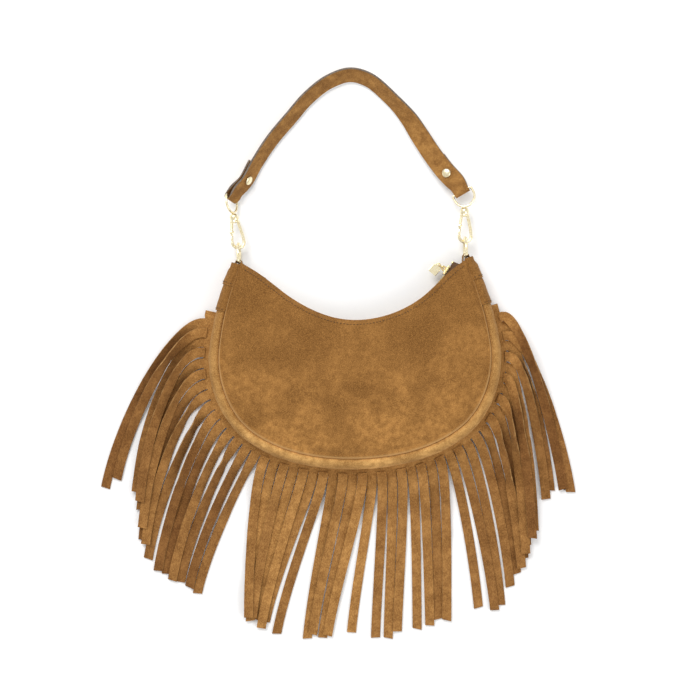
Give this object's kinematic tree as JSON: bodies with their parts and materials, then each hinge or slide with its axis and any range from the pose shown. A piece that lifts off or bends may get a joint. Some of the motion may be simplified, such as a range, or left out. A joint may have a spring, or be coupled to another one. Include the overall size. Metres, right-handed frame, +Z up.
{
  "type": "fringed suede shoulder bag",
  "caption": "Half-moon suede shoulder bag with a cut fringe, a curved top zip and a short strap on swivel hooks.",
  "frame": {"origin": "on the flat underside of the back panel, where the bag rests", "axes": "+X across the bag to its right seen from the front, +Y towards the handle, +Z up out of the front panel"},
  "size_m": [0.4584, 0.5484, 0.0452],
  "materials": {
    "suede": "napped camel suede",
    "strap_suede": "doubled camel suede with darker cut edges",
    "zip_tape": "woven brown tape",
    "zip_metal": "pale gold plate",
    "gold_plate": "polished pale gold plate"
  },
  "bodies": {
    "bag": {"front_panel": "suede", "back_panel": "suede", "side_band": "suede", "left_side_facing": "suede", "right_side_facing": "suede", "fringe": "suede", "zip_tape_front": "zip_tape", "zip_tape_back": "zip_tape", "zip_teeth_front": "zip_metal", "zip_teeth_back": "zip_metal", "left_zip_stop": "zip_metal", "right_zip_stop": "zip_metal", "left_ring_tab": "suede", "right_ring_tab": "suede"},
    "left_d_ring": {"left_d_ring": "gold_plate"},
    "right_d_ring": {"right_d_ring": "gold_plate"},
    "strap": {"strap": "strap_suede", "left_rivet": "gold_plate", "left_rivet_back_cap": "gold_plate", "right_rivet": "gold_plate", "right_rivet_back_cap": "gold_plate"},
    "left_strap_eye": {"left_strap_eye": "gold_plate"},
    "right_strap_eye": {"right_strap_eye": "gold_plate"},
    "left_hook": {"left_hook": "gold_plate", "left_gate_pin": "gold_plate"},
    "right_hook": {"right_hook": "gold_plate", "right_gate_pin": "gold_plate"},
    "left_gate": {"left_hook_gate": "gold_plate"},
    "right_gate": {"right_hook_gate": "gold_plate"},
    "zip_slider": {"zip_slider": "zip_metal"},
    "zip_pull_link": {"zip_pull_link": "zip_metal"},
    "zip_puller": {"zip_puller": "zip_metal"}
  },
  "joints": [
    {"name": "handle_swing", "type": "hinge", "parent": "bag", "child": "strap", "pos_m": [0, 0.1085, 0.0135], "axis": [1, 0, 0], "range_deg": [-75, 75]},
    {"name": "left_ring_pivot", "type": "hinge", "parent": "bag", "child": "left_d_ring", "pos_m": [-0.109, 0.1015, 0.0135], "axis": [0, 0, 1], "range_deg": [-3, 3]},
    {"name": "right_ring_pivot", "type": "hinge", "parent": "bag", "child": "right_d_ring", "pos_m": [0.109, 0.1015, 0.0135], "axis": [0, 0, 1], "range_deg": [-2.5, 2.5]},
    {"name": "left_eye_pivot", "type": "hinge", "parent": "strap", "child": "left_strap_eye", "pos_m": [-0.11456, 0.16426, 0.01195], "axis": [0.4409, -0.2834, -0.8517], "range_deg": [-1.2, 1.2]},
    {"name": "right_eye_pivot", "type": "hinge", "parent": "strap", "child": "right_strap_eye", "pos_m": [0.1067, 0.16431, 0.01301], "axis": [0.8637, 0.4695, 0.1836], "range_deg": [-1.5, 1.5]},
    {"name": "left_hook_swivel", "type": "hinge", "parent": "left_strap_eye", "child": "left_hook", "pos_m": [-0.11185, 0.1398, 0.0135], "axis": [-0.1392, 0.9903, 0], "range_deg": [-45, 15]},
    {"name": "right_hook_swivel", "type": "hinge", "parent": "right_strap_eye", "child": "right_hook", "pos_m": [0.109, 0.14, 0.0135], "axis": [0, 1, 0], "range_deg": [-30, 30]},
    {"name": "left_gate_hinge", "type": "hinge", "parent": "left_hook", "child": "left_gate", "pos_m": [-0.11506, 0.13067, 0.01469], "axis": [0.2563, 0.036, 0.9659], "range_deg": [0, 28], "stiffness_Nm_per_rad": 0.004},
    {"name": "right_gate_hinge", "type": "hinge", "parent": "right_hook", "child": "right_gate", "pos_m": [0.1044, 0.1314, 0.0135], "axis": [0, 0, 1], "range_deg": [0, 28], "stiffness_Nm_per_rad": 0.004},
    {"name": "zip_slider_travel", "type": "hinge", "parent": "bag", "child": "zip_slider", "pos_m": [0.003, 0.15, 0.0135], "axis": [0, 0, 1], "range_deg": [-104.5, 0.4]},
    {"name": "pull_link_hinge", "type": "hinge", "parent": "zip_slider", "child": "zip_pull_link", "pos_m": [0.08737, 0.09092, 0.0135], "axis": [0, 0, 1], "range_deg": [-30, 12]},
    {"name": "puller_hinge", "type": "hinge", "parent": "zip_pull_link", "child": "zip_puller", "pos_m": [0.08295, 0.09402, 0.0135], "axis": [0, 0, 1], "range_deg": [-107, 2]}
  ]
}
